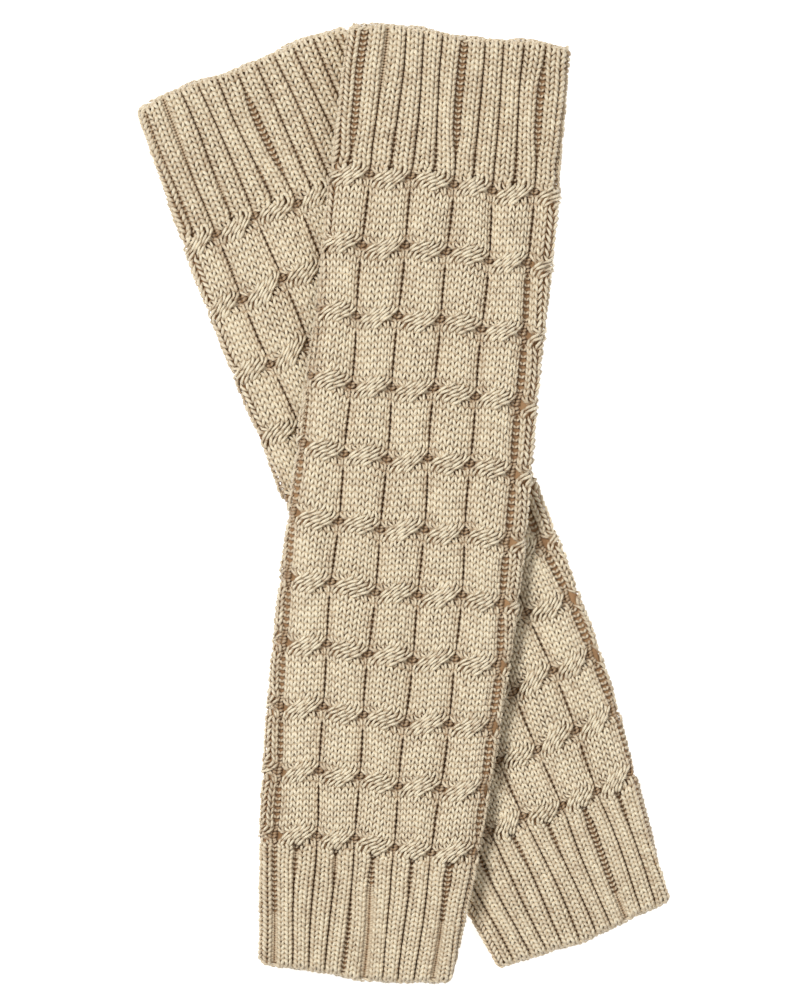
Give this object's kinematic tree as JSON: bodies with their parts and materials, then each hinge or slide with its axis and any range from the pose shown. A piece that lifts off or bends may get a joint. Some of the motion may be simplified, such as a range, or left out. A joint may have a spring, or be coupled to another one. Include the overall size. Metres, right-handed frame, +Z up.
{
  "type": "fingerless gloves",
  "caption": "Pair of long cable-knit fingerless gloves, open tubes with ribbed cuffs at both ends, laid flat and crossed",
  "frame": {"origin": "middle of the underside of the crossed pair, on the surface that it lies on", "axes": "+Y from the hand ends to the arm ends, midway between the two crossed gloves; +Z up, out of the backs of the gloves; +X to the right"},
  "size_m": [0.1518, 0.338, 0.0243],
  "materials": {
    "cable_knit": "oatmeal yarn in cables with purl gutters, soft sheen",
    "rib_knit": "oatmeal yarn in two-by-one rib, soft sheen",
    "edge_yarn": "oatmeal yarn in a chained edge",
    "seam_yarn": "oatmeal yarn in a linked seam"
  },
  "bodies": {
    "lower_glove": {"lower_arm_cuff": "rib_knit", "lower_back_panel": "cable_knit", "lower_palm_panel": "cable_knit", "lower_hand_cuff": "rib_knit", "lower_cast_on_edge": "edge_yarn", "lower_bind_off_edge": "edge_yarn", "lower_side_seam": "seam_yarn", "lower_thumb_edging": "edge_yarn"},
    "upper_glove": {"upper_arm_cuff": "rib_knit", "upper_back_panel": "cable_knit", "upper_palm_panel": "cable_knit", "upper_hand_cuff": "rib_knit", "upper_cast_on_edge": "edge_yarn", "upper_bind_off_edge": "edge_yarn", "upper_side_seam": "seam_yarn", "upper_thumb_edging": "edge_yarn"}
  },
  "joints": [
    {"name": "lift_off", "type": "slide", "parent": "lower_glove", "child": "upper_glove", "axis": [0, 0, 1], "range_m": [0, 0.15]}
  ]
}
